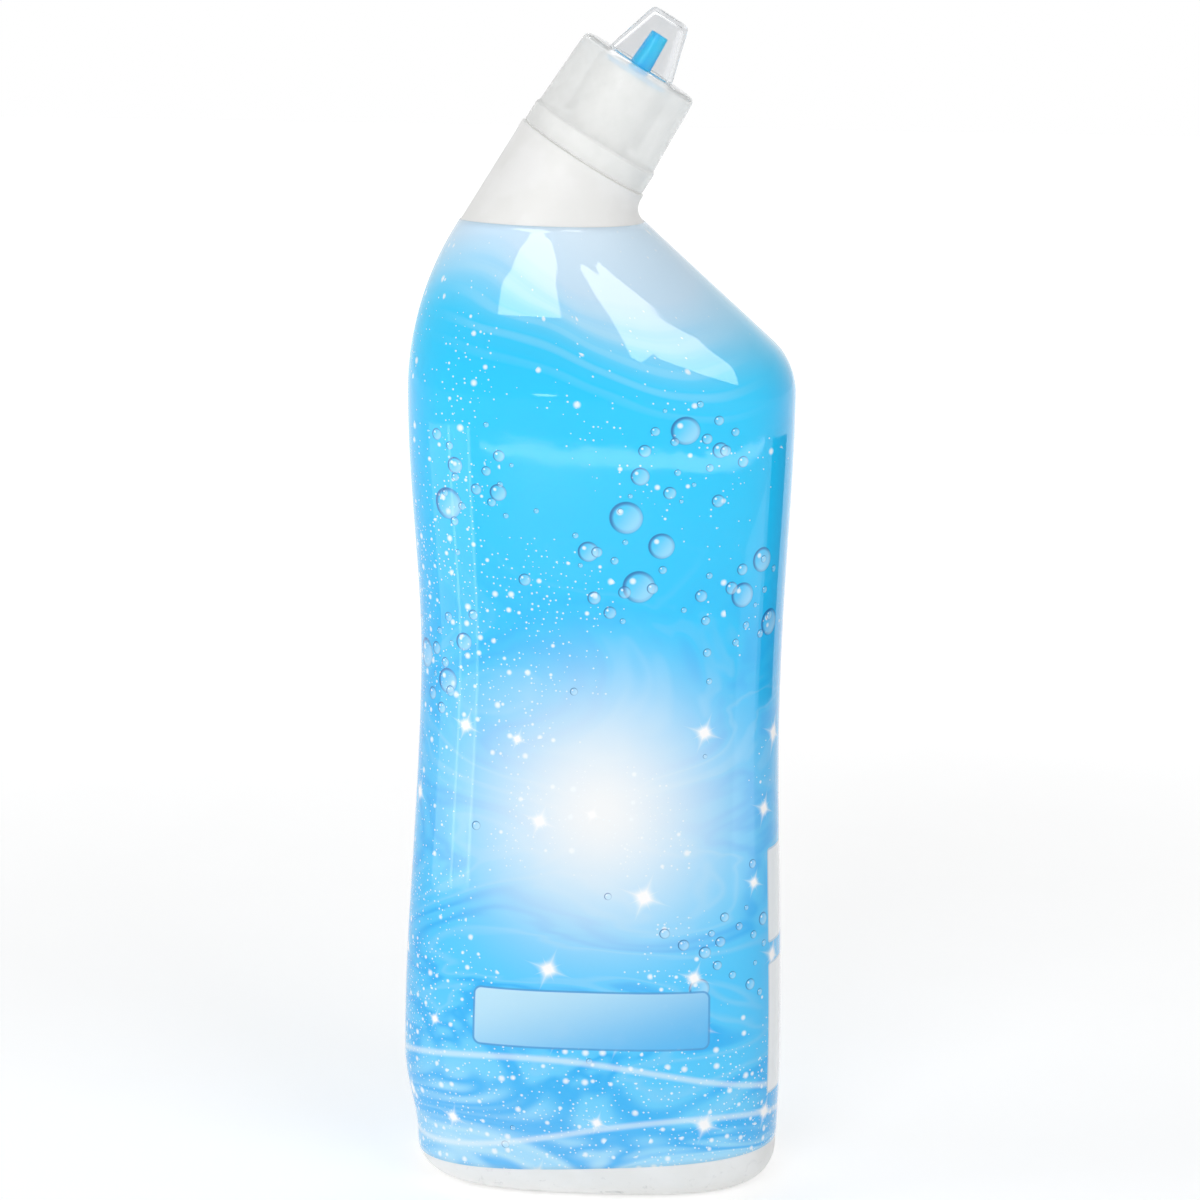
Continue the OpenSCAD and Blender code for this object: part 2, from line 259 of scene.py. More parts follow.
# Puts a grid of points (rings, columns, xyz) into a mesh. Columns close on themselves; rings do if closed.
def gridPiece(name, grid, body, material, closed=False, uv=None):
    rings, count = grid.shape[:2]
    k = np.arange(rings if closed else rings - 1)[:, None]
    j = np.arange(count)[None, :]
    up, on = (k + 1) % rings, (j + 1) % count
    faces = np.stack([k * count + j, k * count + on, up * count + on, up * count + j], axis=-1).reshape(-1, 4)
    mesh = bpy.data.meshes.new(name)
    mesh.from_pydata((grid.reshape(-1, 3) * millimetre).tolist(), [], faces.tolist())
    if uv is not None:  # uv: mapName, u of each column plus the closing one, v of each point
        mapName, across, heights = uv
        k, j = np.broadcast_arrays(k, j)
        corners = ((j, k, j), (j + 1, k, on), (j + 1, up, on), (j, up, j))
        places = np.stack([np.stack([across[a], heights[b, c]], -1) for a, b, c in corners], axis=2)
        mesh.uv_layers.new(name=mapName).uv.foreach_set("vector", places.reshape(-1).astype(np.float32))
    work = bmesh.new()
    work.from_mesh(mesh)
    bmesh.ops.remove_doubles(work, verts=work.verts, dist=1e-7)
    work.to_mesh(mesh)
    work.free()
    mesh.polygons.foreach_set("use_smooth", np.ones(len(mesh.polygons), bool))
    mesh.update()
    piece = addObject(name, mesh)
    mesh.materials.append(material)
    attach(piece, body)
    return piece


# Screen colour, two hexadecimal digits each for red, green and blue, to linear light
def colour(hexText):
    part = np.array([int(hexText[i:i + 2], 16) for i in (0, 2, 4)]) / 255
    line = np.where(part <= 0.04045, part / 12.92, ((part + 0.055) / 1.055) ** 2.4)
    return (*line.tolist(), 1.0)


# Sets a node's inputs: another node's socket is linked, any other value is written on the input itself
def plug(node, values):
    for key, value in values.items():
        if isinstance(value, bpy.types.NodeSocket):
            node.id_data.links.new(value, node.inputs[key])
        else:
            node.inputs[key].default_value = value


# A new node with its settings and its inputs
def addNode(tree, kind, inputs=None, **settings):
    node = tree.nodes.new("ShaderNode" + kind)
    for key, value in settings.items():
        setattr(node, key, value)
    plug(node, inputs or {})
    return node


# The node tree that the first socket among the values belongs to
def treeOf(values):
    return next(value.id_data for value in values if isinstance(value, bpy.types.NodeSocket))


def useGroup(group, inputs):
    return addNode(treeOf(inputs.values()), "Group", inputs, node_tree=group).outputs


# One Math node on one to three values; the short names after it stand for single steps
def maths(operation, *values, clamp=False):
    inputs = dict(enumerate(values))
    return addNode(treeOf(values), "Math", inputs, operation=operation, use_clamp=clamp).outputs[0]


def times(a, b):
    return maths("MULTIPLY", a, b)


def plus(a, b):
    return maths("ADD", a, b)


def minus(a, b):
    return maths("SUBTRACT", a, b)


def over(a, b):
    return maths("DIVIDE", a, b)


def highest(a, b):
    return maths("MAXIMUM", a, b)


# 1 where a is below b, else 0
def below(a, b):
    return maths("LESS_THAN", a, b)


# The distance between two numbers, |a - b|
def apart(a, b):
    return maths("ABSOLUTE", minus(a, b))


# The length of a step of x and y, the root of x squared plus y squared
def stepLength(x, y):
    return maths("SQRT", plus(times(x, x), times(y, y)))


# Value taken from low..high to toLow..toHigh and held at both ends, eased or straight
def remap(value, low, high, toLow=0.0, toHigh=1.0, style="SMOOTHSTEP"):
    inputs = {"Value": value, "From Min": low, "From Max": high, "To Min": toLow, "To Max": toHigh}
    return addNode(value.id_data, "MapRange", inputs, interpolation_type=style).outputs[0]


# Rises from 0 to 1 between low and full and falls back between fade and high
def window(value, low, full, fade, high):
    return times(remap(value, low, full), remap(value, high, fade))


# From low to high by the factor
def mixValue(factor, low, high):
    return addNode(factor.id_data, "Mix", {0: factor, 2: low, 3: high}, data_type="FLOAT").outputs[0]


# From one colour to another by the factor; each is a socket or the digits of a screen colour
def tint(factor, under, upper):
    under, upper = (colour(shade) if isinstance(shade, str) else shade for shade in (under, upper))
    return addNode(factor.id_data, "Mix", {0: factor, 6: under, 7: upper}, data_type="RGBA").outputs[2]


def split(vector):
    return addNode(vector.id_data, "SeparateXYZ", {0: vector}).outputs


def stepFrom(place, middle):
    return addNode(place.id_data, "VectorMath", {0: place, 1: middle}, operation="SUBTRACT").outputs[0]


def vectorLength(vector):
    return addNode(vector.id_data, "VectorMath", {0: vector}, operation="LENGTH").outputs["Value"]


# Turns a place about Z by an angle in radians
def spin(place, angle):
    inputs = {"Vector": place, "Angle": angle}
    return addNode(place.id_data, "VectorRotate", inputs, rotation_type="Z_AXIS").outputs[0]


def noise(place, scale, detail, dimensions="3D", **more):
    inputs = {"Vector": place, "Scale": scale, "Detail": detail, **more}
    return addNode(place.id_data, "TexNoise", inputs, noise_dimensions=dimensions).outputs["Fac"]


def bumpNormal(height, strength, distance):
    inputs = {"Strength": strength, "Distance": distance, "Height": height}
    return addNode(height.id_data, "Bump", inputs).outputs[0]


# A node group that reads a place and some numbers. Its results are numbers, but Middle is a place.
def newGroup(name, numbers, results):
    group = bpy.data.node_groups.new(name, "ShaderNodeTree")
    group.interface.new_socket(name="Vector", in_out="INPUT", socket_type="NodeSocketVector")
    for label, value in numbers.items():
        socket = group.interface.new_socket(name=label, in_out="INPUT", socket_type="NodeSocketFloat")
        socket.default_value = value
    for label in results:
        kind = "NodeSocketVector" if label == "Middle" else "NodeSocketFloat"
        group.interface.new_socket(name=label, in_out="OUTPUT", socket_type=kind)
    return group, group.nodes.new("NodeGroupInput").outputs, group.nodes.new("NodeGroupOutput")


# The cells of a scatter, with two numbers by chance for each
def scatterCells(place, cell, randomness):
    inputs = {"Vector": place, "Scale": over(1.0, cell), "Randomness": randomness}
    cells = addNode(place.id_data, "TexVoronoi", inputs, voronoi_dimensions="2D").outputs
    return cells, split(cells["Color"])


# Dots scattered one to a cell, each with its own size, in the cells that chance picks
def makeDotScatter():
    group, into, out = newGroup("dotScatter", {"Cell": 2.0, "Size": 0.4, "Amount": 0.5}, ["Mask"])
    cells, chance = scatterCells(into["Vector"], into["Cell"], 1.0)
    distance = times(cells["Distance"], into["Cell"])
    radius = times(into["Size"], remap(chance[0], 0.0, 1.0, 0.3, 1.0, "LINEAR"))
    spot = remap(distance, radius, times(radius, 0.25))
    plug(out, {"Mask": times(spot, below(chance[1], into["Amount"]))})
    return group


# Glints of four long and four short thin arms round a soft core. A place lies (sqrt|x| + sqrt|y|) squared
# along an arm.
def makeGlintScatter():
    longTurn, shortTurn, shortArm = 0.35, 0.35 + math.pi / 4, 0.62
    group, into, out = newGroup("glintScatter", {"Cell": 24.0, "Arm": 5.0, "Amount": 0.5}, ["Mask"])
    cells, chance = scatterCells(into["Vector"], into["Cell"], 0.75)
    local = stepFrom(into["Vector"], cells["Position"])
    arm = times(into["Arm"], remap(chance[0], 0.0, 1.0, 0.45, 1.0, "LINEAR"))
    rays = 0.0
    for angle, length in ((longTurn, 1.0), (shortTurn, shortArm)):
        part = split(spin(local, angle))
        x, y = (maths("SQRT", maths("ABSOLUTE", part[axis])) for axis in (0, 1))
        star = over(maths("POWER", plus(x, y), 2.0), length)
        rays = highest(rays, maths("POWER", remap(star, arm, 0.0, style="LINEAR"), 1.5))
    core = remap(vectorLength(local), times(arm, 0.34), 0.0)
    shine = maths("ADD", rays, times(core, 0.75), clamp=True)
    plug(out, {"Mask": times(shine, below(chance[1], into["Amount"]))})
    return group


# Plain round bubbles, one to a cell: a thin dark edge, a pale body lit from below and a small shine
def makeBubbleScatter():
    cellTurn, shineX, shineY = 0.6, -0.38, 0.36
    results = ["Middle", "Chance", "Edge", "Body", "Shine"]
    group, into, out = newGroup("bubbleScatter", {"Cell": 12.0, "Radius": 2.5}, results)
    cells, chance = scatterCells(spin(into["Vector"], cellTurn), into["Cell"], 0.42)
    middle = spin(cells["Position"], -cellTurn)
    radius = times(into["Radius"], remap(chance[0], 0.0, 1.0, 0.3, 1.0, "LINEAR"))
    part = split(stepFrom(into["Vector"], middle))
    x, y = over(part[0], radius), over(part[1], radius)
    far = stepLength(x, y)
    lean = plus(times(x, -0.35), times(y, 0.25))
    edge = times(window(far, 0.68, 0.92, 0.95, 1.04), remap(lean, -0.4, 0.35, 0.25, 1.0))
    body = times(remap(far, 0.98, 0.88), remap(lean, 0.3, -0.35, 0.12, 0.85))
    spot = stepLength(minus(x, shineX), minus(y, shineY))
    shine = remap(spot, 0.26, 0.08)
    plug(out, {"Middle": middle, "Chance": chance[1], "Edge": edge, "Body": body, "Shine": shine})
    return group


# Fine moulding grain over soft unevenness, as a height for Bump and as a mask
def makeMouldGrain():
    group, into, out = newGroup("mouldGrain", {"Fine": 2500.0, "Coarse": 120.0}, ["Height", "Mask"])
    fine = noise(into["Vector"], into["Fine"], 2.0)
    coarse = noise(into["Vector"], into["Coarse"], 3.0)
    height = plus(times(fine, 0.25), coarse)
    plug(out, {"Height": height, "Mask": remap(coarse, 0.35, 0.65)})
    return group


dotScatter, glintScatter = makeDotScatter(), makeGlintScatter()
bubbleScatter, mouldGrain = makeBubbleScatter(), makeMouldGrain()


# The owner's node tree with nothing in it
def emptyTree(owner):
    owner.use_nodes = True
    owner.node_tree.nodes.clear()
    return owner.node_tree


def newMaterial(name):
    material = bpy.data.materials.new(name)
    tree = emptyTree(material)
    shader = addNode(tree, "BsdfPrincipled")
    addNode(tree, "OutputMaterial", {"Surface": shader.outputs[0]})
    return material, tree, shader


# Puts a new shader in place of the one at the output
def newSurface(shader):
    plug(shader.id_data.get_output_node("ALL"), {"Surface": shader.outputs[0]})


# The place on the object itself, in metres
def objectPlace(tree):
    return addNode(tree, "TexCoord").outputs["Object"]


# Moulded plastic: a paler and a darker colour, roughness from low to high, and the height of the grain
def mouldedLook(place, look, fine, coarse):
    grain = useGroup(mouldGrain, {"Vector": place, "Fine": fine, "Coarse": coarse})
    base = tint(grain["Mask"], look["light"], look["shade"])
    rough = remap(grain["Mask"], 0.0, 1.0, *look["roughness"], "LINEAR")
    return base, rough, grain["Height"]


whitePlastic = {
    "light": "F0F0EF", "shade": "EBEBE9", "scuff": "A9ACAE", "roughness": (0.42, 0.48),
    "scuffHeight": (0.011, 0.002),  # metres: no scuffs above the first, all below the second
    "partingWidth": (0.00035, 0.00008),
}


# White plastic, scuffed near the foot, with a parting line
def makeWhitePlastic():
    material, tree, shader = newMaterial("whitePolyethylene")
    place = objectPlace(tree)
    base, rough, grain = mouldedLook(place, whitePlastic, 2600.0, 90.0)
    part = split(place)
    marks = noise(place, 210.0, 6.0, Roughness=0.7, Distortion=1.2)
    nearFoot = remap(part[2], *whitePlastic["scuffHeight"])
    scuff = times(remap(marks, 0.56, 0.7, 0.0, 0.55), nearFoot)
    base = tint(scuff, base, whitePlastic["scuff"])
    # the mould's parting line runs in the plane of the neck, as a fine raised line
    parting = remap(apart(part[1], 0.0), *whitePlastic["partingWidth"], 0.0, 0.6)
    bump = bumpNormal(plus(times(grain, 0.35), parting), 0.25, 0.0003)
    plug(shader, {"Base Color": base, "Roughness": rough, "Normal": bump, "IOR": 1.5})
    return material


filmPrint = {  # lengths in millimetres on the film; u counts from the middle of a face, v from the foot
    "fields": (  # height, colour
        (0.0, "B4E4FC"), (9.0, "ACE2FD"), (19.0, "74D4FF"), (34.0, "50CCFF"), (56.0, "48CAFF"),
        (76.0, "50CCFF"), (100.0, "40C6FD"), (128.0, "2CC4FD"), (150.0, "1CC8FE"), (176.0, "12CBFF"),
        (196.0, "08CCFF"), (203.0, "2CCEFF"), (208.0, "62D4FF"), (213.0, "9ADDFE"), (222.0, "C9E6FB"),
        (242.0, "DAEDFB"),
    ),
    "rampTop": 250.0,
    "sag": 16.0,
    "sagMiddle": 25.0,
    "wander": 6.0,
    "layerPale": "D6F0FE",
    "layerDeep": "3CC8FC",
    "glowMiddle": (2.0, 100.0),
    "glowReach": (46.0, 47.0),
    "glow": "F6F8F9",
    "deep": "06AEF7",
    "foldPale": "8FD6FC",
    "edgeDeep": "08B2F6",
    "pale": "F6FCFF",
    "streamU": -27.0,
    "streamDrift": 8.0,
    "dustSizes": ((1.5, 0.36, 0.75, 0.8), (3.9, 1.15, 0.5, 0.85)),  # cell, radius, amount, strength
    "bubblePlaces": (
        (-29.0, 178.0), (24.0, 189.0), (4.0, 163.0), (36.0, 150.0), (-36.0, 132.0), (34.0, 66.0),
    ),
    "bubbleSizes": (  # cell, radius, reach of a place, share of cells far from a place and near it
        (12.0, 4.1, 17.0, 0.0, 0.85), (5.2, 1.7, 20.0, 0.03, 0.65),
    ),
    "bubbleTop": 200.0,
    "bubbleParts": (("Body", 0.6, "C8ECFF"), ("Edge", 0.85, "0A5FA8"), ("Shine", 0.85, "F6FCFF")),
    "arcs": ((17.0, 5.0, 24.0, 0.4), (31.0, 6.5, 30.0, 2.1)),  # height, rise, run, phase
    "glints": {"Cell": 19.0, "Arm": 9.0},
    "glintShare": 0.55,
    "barShades": ("58BEF6", "C6EDFD"),
    "panels": (  # middle u and v, half width, half height, corner, fill or None for the bar, border
        (1.0, 47.5, 28.0, 7.5, 2.0, None, "4C9AD8"),
        (71.0, 76.0, 24.0, 12.0, 1.0, "EEF2F4", "C4D6E2"),
        (71.0, 42.0, 24.0, 17.0, 1.0, "F3F5F6", "CCDAE4"),
    ),
    "seamHalf": 2.5,
    "seamInk": "2C86C8",
    # painted shade: the grey laid into the troughs of the film's pleats under the neck
    "puckerShade": "8A9AA4",
    "pleat": 8.0,
    "seamSink": -1.6,
    "bump": 0.03,
    "roughness": (0.028, 0.048),
}


# The film's print and relief, from the film's own map: u runs round the body and v up it
def makeFilmPrint():
    material, tree, shader = newMaterial("printedFilm")
    sheet = addNode(tree, "UVMap", uv_map="filmMap").outputs[0]
    u, v = split(sheet)[:2]

    # fields of colour by height, sagging in the middle of each face like a filled glass
    around = -2 * float(bodyArc[0])
    faceU = maths("WRAP", u, around / 4, -around / 4)
    besideU = maths("ABSOLUTE", faceU)
    swing = maths("COSINE", times(minus(u, filmPrint["sagMiddle"]), 4 * math.pi / around))
    high = minus(v, times(minus(1.0, swing), filmPrint["sag"] / 2))
    wander = minus(noise(sheet, 0.028, 1.0, "2D"), 0.5)
    high = plus(high, times(wander, filmPrint["wander"]))
    ramp = addNode(tree, "ValToRGB", {"Fac": over(high, filmPrint["rampTop"])})
    stops = ramp.color_ramp.elements
    for height, shade in filmPrint["fields"][1:-1]:
        stops.new(height / filmPrint["rampTop"])
    for stop, (height, shade) in zip(stops, filmPrint["fields"]):
        stop.position = height / filmPrint["rampTop"]
        stop.color = colour(shade)
    base = ramp.outputs[0]

    # thin pale layers where the fields part, as in a poured drink
    layerPlace = addNode(tree, "Mapping", {"Vector": sheet, "Scale": (0.012, 0.1, 1)}).outputs[0]
    layer = noise(layerPlace, 1.0, 1.0, "2D")
    stripe = maths("SINE", plus(times(high, 1.15), times(layer, 3.0)))
    nearPart = times(window(high, 192.0, 203.0, 212.0, 226.0), remap(besideU, 44.0, 24.0))
    base = tint(times(remap(stripe, 0.0, 1.0, 0.0, 0.15), nearPart), base, filmPrint["layerPale"])
    base = tint(times(remap(stripe, -0.2, -1.0, 0.0, 0.13), nearPart), base, filmPrint["layerDeep"])

    # how far the pale glow in the middle of the face reaches
    (glowU, glowV), (reachU, reachV) = filmPrint["glowMiddle"], filmPrint["glowReach"]
    glowX, glowY = over(minus(faceU, glowU), reachU), over(minus(v, glowV), reachV)
    glow = maths("POWER", remap(stepLength(glowX, glowY), 1.15, 0.0), 1.15)

    # silky swirls low on the film, fainter in the glow, and a deeper blue towards both edges
    silkTurn = {"Vector": sheet, "Rotation": (0, 0, 0.5), "Scale": (0.016, 0.03, 1)}
    silk = noise(addNode(tree, "Mapping", silkTurn).outputs[0], 1.0, 2.0, "2D", Distortion=2.2)
    lowPart = remap(v, 172.0, 110.0)
    fold = times(window(silk, 0.5, 0.62, 0.62, 0.74), remap(glow, 0.0, 0.7, 0.75, 0.2, "LINEAR"))
    base = tint(times(fold, lowPart), base, filmPrint["deep"])
    paleFold = times(window(silk, 0.36, 0.44, 0.44, 0.5), times(lowPart, 0.35))
    base = tint(paleFold, base, filmPrint["foldPale"])
    edgeDeep = times(remap(besideU, 34.0, 52.0, 0.0, 0.5), remap(v, 212.0, 196.0))
    base = tint(edgeDeep, base, filmPrint["edgeDeep"])
    base = tint(glow, base, filmPrint["glow"])

    # pale dust that follows the swirls, the left side and the foot
    drift = noise(sheet, 0.022, 2.0, "2D", Distortion=1.0)
    dust = plus(remap(drift, 0.42, 0.66, 0.0, 0.7), remap(u, -22.0, -46.0, 0.0, 0.55))
    dust = plus(dust, remap(v, 60.0, 15.0, 0.0, 0.3))
    dust = plus(dust, times(remap(v, 60.0, 20.0), remap(faceU, 0.0, 44.0, 0.0, 0.8)))
    dust = times(dust, remap(v, 222.0, 150.0, 0.15, 1.0))
    # a loose stream of it comes down the left of each face from the shoulder
    sideways = minus(filmPrint["streamU"], times(drift, filmPrint["streamDrift"]))
    stream = remap(apart(faceU, sideways), 11.0, 2.0, 0.0, 0.75)
    stream = times(stream, window(v, 110.0, 150.0, 208.0, 226.0))
    dust = highest(dust, stream)
    for cell, radius, amount, strength in filmPrint["dustSizes"]:
        values = {"Vector": sheet, "Cell": cell, "Size": radius, "Amount": times(dust, amount)}
        dots = useGroup(dotScatter, values)["Mask"]
        base = tint(times(dots, strength), base, filmPrint["pale"])

    # plain bubbles in two sizes, gathered round a few places on each face
    for cell, radius, reach, shareFar, shareNear in filmPrint["bubbleSizes"]:
        bubbles = useGroup(bubbleScatter, {"Vector": sheet, "Cell": cell, "Radius": radius})
        middle = split(bubbles["Middle"])
        middleU = maths("WRAP", middle[0], around / 4, -around / 4)
        nearest = 60.0
        for atU, atV in filmPrint["bubblePlaces"]:
            far = stepLength(minus(middleU, atU), minus(middle[1], atV))
            nearest = maths("MINIMUM", nearest, far)
        amount = remap(nearest, reach, reach / 3, shareFar, shareNear)
        amount = times(amount, below(middle[1], filmPrint["bubbleTop"]))
        there = below(bubbles["Chance"], amount)
        for label, strength, shade in filmPrint["bubbleParts"]:
            drawn = times(bubbles[label], times(there, strength))
            base = tint(drawn, base, shade)

    # thin pale arcs near the foot: v = height + rise * sin(u / run + phase)
    for height, rise, run, phase in filmPrint["arcs"]:
        wave = maths("SINE", plus(over(u, run), phase))
        fromArc = apart(v, plus(times(wave, rise), height))
        base = tint(remap(fromArc, 1.3, 0.1, 0.0, 0.5), base, filmPrint["pale"])

    share = times(remap(v, 150.0, 118.0), filmPrint["glintShare"])
    glints = useGroup(glintScatter, {"Vector": sheet, "Amount": share, **filmPrint["glints"]})
    base = tint(glints["Mask"], base, "FFFFFF")

    # blank panels: a bar on the face, paler to its left and top, and plain fields round the front edge
    lean = plus(times(u, -0.016), times(minus(v, 47.0), 0.05))
    barFill = tint(remap(lean, -0.75, 0.75), *filmPrint["barShades"])
    for middleU, middleV, halfU, halfV, corner, fill, border in filmPrint["panels"]:
        x = highest(minus(apart(u, middleU), halfU - corner), 0.0)
        y = highest(minus(apart(v, middleV), halfV - corner), 0.0)
        outside = minus(stepLength(x, y), corner)
        base = tint(remap(outside, 0.12, -0.12, 0.0, 0.85), base, border)
        base = tint(remap(outside, -0.35, -0.65, 0.0, 0.9), base, fill or barFill)

    # the welded seam runs up the middle of the back face, where the print's ends meet
    half = filmPrint["seamHalf"]
    seam = apart(u, around / 2 - half)
    base = tint(remap(seam, half + 0.1, half - 0.2, 0.0, 0.1), base, "FFFFFF")
    seamLine = remap(apart(seam, half), 0.3, 0.05)
    base = tint(times(seamLine, 0.35), base, filmPrint["seamInk"])

    # the film puckers where it ends in the bend under the neck, with painted shade in the troughs of its
    # pleats
    bend = remap(v, rootHeight - 9.0, rootHeight - 2.0)
    pucker = times(remap(apart(u, around / 4), 15.0, 5.0), bend)
    wave = maths("SINE", times(u, 2.3))
    pleat = times(times(wave, pucker), filmPrint["pleat"])
    base = tint(times(remap(wave, 0.0, -1.0, 0.0, 0.35), pucker), base, filmPrint["puckerShade"])

    ripple = noise(sheet, 0.11, 2.0, "2D")
    height = plus(ripple, plus(pleat, times(seamLine, filmPrint["seamSink"])))
    bump = bumpNormal(height, filmPrint["bump"], 0.0006)
    rough = remap(ripple, 0.3, 0.7, *filmPrint["roughness"], "LINEAR")
    plug(shader, {"Base Color": base, "Roughness": rough, "Normal": bump, "IOR": 1.5})
    return material


capPlastic = {
    "index": 1.15,
    "bump": 0.01,
    "skirt": {"clear": 0.5, "light": "F3F4F3", "shade": "EFF0EF", "roughness": (0.14, 0.17)},
    "cone": {"clear": 0.97, "light": "DDDEE0", "shade": "DADCDE", "roughness": (0.12, 0.15)},
    "inside": {"clear": 1.0, "light": "FFFFFF", "shade": "FCFDFD", "roughness": (0.08, 0.11)},
}


# Light and its shadow rays go straight through, so the parts under the cap are lit as under milky plastic
def makeCapPlastic(name, look):
    material, tree, shader = newMaterial(name)
    base, rough, grain = mouldedLook(objectPlace(tree), look, 1800.0, 260.0)
    bump = bumpNormal(grain, capPlastic["bump"], 0.0002)
    plug(shader, {"Base Color": base, "Roughness": rough, "Normal": bump})
    plug(shader, {"IOR": capPlastic["index"], "Transmission Weight": look["clear"]})
    path = addNode(tree, "LightPath").outputs
    passing = highest(path["Is Shadow Ray"], path["Is Diffuse Ray"])
    through = addNode(tree, "BsdfTransparent")
    newSurface(addNode(tree, "MixShader", {0: passing, 1: shader.outputs[0], 2: through.outputs[0]}))
    return material


insertPlastic = {"light": "16D2FF", "shade": "06BEFF", "roughness": (0.3, 0.38), "bump": 0.15}


def makeInsertPlastic():
    material, tree, shader = newMaterial("bluePolyethylene")
    base, rough, grain = mouldedLook(objectPlace(tree), insertPlastic, 3000.0, 300.0)
    bump = bumpNormal(grain, insertPlastic["bump"], 0.0002)
    plug(shader, {"Base Color": base, "Roughness": rough, "Normal": bump, "IOR": 1.5})
    return material


gelTint = {"light": "1E7BE0", "shade": "1464C8", "bubble": "8CC8F8", "roughness": (0.08, 0.13)}


# Clouded gel with small air bubbles
def makeGelTint():
    material, tree, shader = newMaterial("blueGel")
    place = objectPlace(tree)
    cloud = noise(place, 45.0, 2.0)
    base = tint(remap(cloud, 0.35, 0.65), gelTint["light"], gelTint["shade"])
    bubbles = addNode(tree, "TexVoronoi", {"Vector": place, "Scale": 160.0}).outputs["Distance"]
    base = tint(remap(bubbles, 0.16, 0.1, 0.0, 0.5), base, gelTint["bubble"])
    rough = remap(cloud, 0.3, 0.7, *gelTint["roughness"], "LINEAR")
    plug(shader, {"Base Color": base, "Roughness": rough, "IOR": 1.36})
    return material


whiteLook, filmLook = makeWhitePlastic(), makeFilmPrint()
skirtLook = makeCapPlastic("frostedPolypropylene", capPlastic["skirt"])
coneLook = makeCapPlastic("clearPolypropylene", capPlastic["cone"])
insideLook = makeCapPlastic("polypropyleneInside", capPlastic["inside"])
insertLook, gelLook = makeInsertPlastic(), makeGelTint()
print("materials made")

bottleRings = {
    "foot": 10, "hip": 14, "side": 60, "shoulder": 40, "neck": 26, "neckInside": 12, "footInside": 5,
}


# The bottle is one moulding, from the middle of the foot up to the mouth and down inside
def makeBottle():
    wall, edge = bodyForm["wall"], neckForm["endRound"]
    collar, tube = finishForm["collarDiameter"] / 2, finishForm["tubeDiameter"] / 2
    bore, low, top = tube - finishForm["wall"], finishForm["collarHeight"], finishForm["height"]
    heights = np.concatenate([
        np.linspace(bodyForm["footRound"], bodyForm["hipHeight"], bottleRings["hip"])[:-1],
        np.linspace(bodyForm["hipHeight"], shoulder, bottleRings["side"])[:-1],
        np.linspace(shoulder, rootHeight, bottleRings["shoulder"]),
    ])
    inner = heights[::3]
    finish = softProfile([
        (neckRadius, -edge, edge),
        (neckRadius, 0, edge),
        (collar, 0, 0.5),
        (collar, low, 0.6),
        (tube, low, 0.6),
        (tube, top, 0.4),
        (bore, top, 0.4),
        (bore, low - wall, 0.5),
        (collar - wall, low - wall, 0.8),
        (collar - wall, -wall, 0.4),
        (neckRadius - wall, -wall, 0.2),
    ])[2:]
    rings = np.vstack([
        footRings(0.0, bottleRings["foot"]),
        levelRings(heights),
        neckRings(bottleRings["neck"], edge),
        axisRings(finish),
        neckRings(bottleRings["neckInside"], wall, wall)[::-1][1:],
        levelRings(inner[::-1], wall),
        footRings(wall, bottleRings["footInside"])[::-1],
    ])
    piece = gridPiece("bottleShell", ringPoints(rings, bodyTurns), "container", whiteLook)
    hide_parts("bottle")
    return piece


sleeveForm = {
    "backLow": 6.2, "frontLow": 11.4, "thick": 0.2, "gap": 0.05, "ripple": 0.1, "edgeWave": 0.25,
    "fade": 12.0, "fadeFrom": 6.0, "rings": 150, "planHeight": 9.0,
}


# The film lies on the body from its foot, which rises towards the front, to the root of the neck. Its ripple,
# sin(z / 11 + 2 sin a) sin(3 a + z / 37), fades out at both ends.
def makeSleeve():
    count = sleeveForm["rings"]
    share = (np.arange(count) / (count - 1))[:, None]
    plan = ringPoints(levelRings([sleeveForm["planHeight"]]), bodyTurns)[0]
    low = mix(sleeveForm["backLow"], sleeveForm["frontLow"], (plan[:, 0] + halfWidth) / (2 * halfWidth))
    top = rootHeight + sleeveForm["edgeWave"] * np.sin(2 * bodyTurns + 0.6)
    heights = mix(low[None, :], top[None, :], share)
    # a surface point at every height and turn; below the foot's edge it follows the rounding
    edge = bodyForm["footRound"]
    tuck = (edge - np.sqrt(edge ** 2 - np.clip(edge - heights, 0, edge) ** 2)).ravel()
    ripple = np.sin(heights / 11.0 + 2.0 * np.sin(bodyTurns)) * np.sin(3 * bodyTurns + heights / 37.0)
    fadeHigh = np.clip((rootHeight - heights) / sleeveForm["fade"], 0, 1)
    fadeLow = np.clip((heights - sleeveForm["fadeFrom"]) / sleeveForm["fade"], 0, 1)
    lift = sleeveForm["ripple"] * (0.5 + 0.5 * ripple) * fadeHigh * fadeLow

    # the body's superellipse at every height, let out by grow
    def surface(grow):
        flat, grow = heights.ravel(), grow.ravel()
        back, front = backEdge(flat) + tuck, frontEdge(flat) - tuck
        power = 2 / squareness(flat)
        turn = np.tile(bodyTurns, count)
        u = ((front - back) / 2 + grow) * signedPower(np.cos(turn), power)
        v = (halfDepth(flat) - tuck + grow) * signedPower(np.sin(turn), power)
        return np.stack([(front + back) / 2 + u, v, flat], axis=-1).reshape(count, columns, 3)

    outer = surface(sleeveForm["gap"] + sleeveForm["thick"] + lift)
    inner = surface(np.full_like(heights, sleeveForm["gap"]))[::-1]
    uv = ("filmMap", bodyArc, np.concatenate([heights, heights[::-1]]))
    grid = np.concatenate([outer, inner])
    piece = gridPiece("filmSleeve", grid, "container", filmLook, closed=True, uv=uv)
    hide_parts("sleeve_label")
    return piece


threadForm = {
    "root": 7.9, "crest": 0.55, "sink": 0.25, "halfWidth": 0.75, "pitch": 3.0, "turns": 2.3, "low": 12.2,
    "steps": 260, "around": 14, "taper": 14,
}


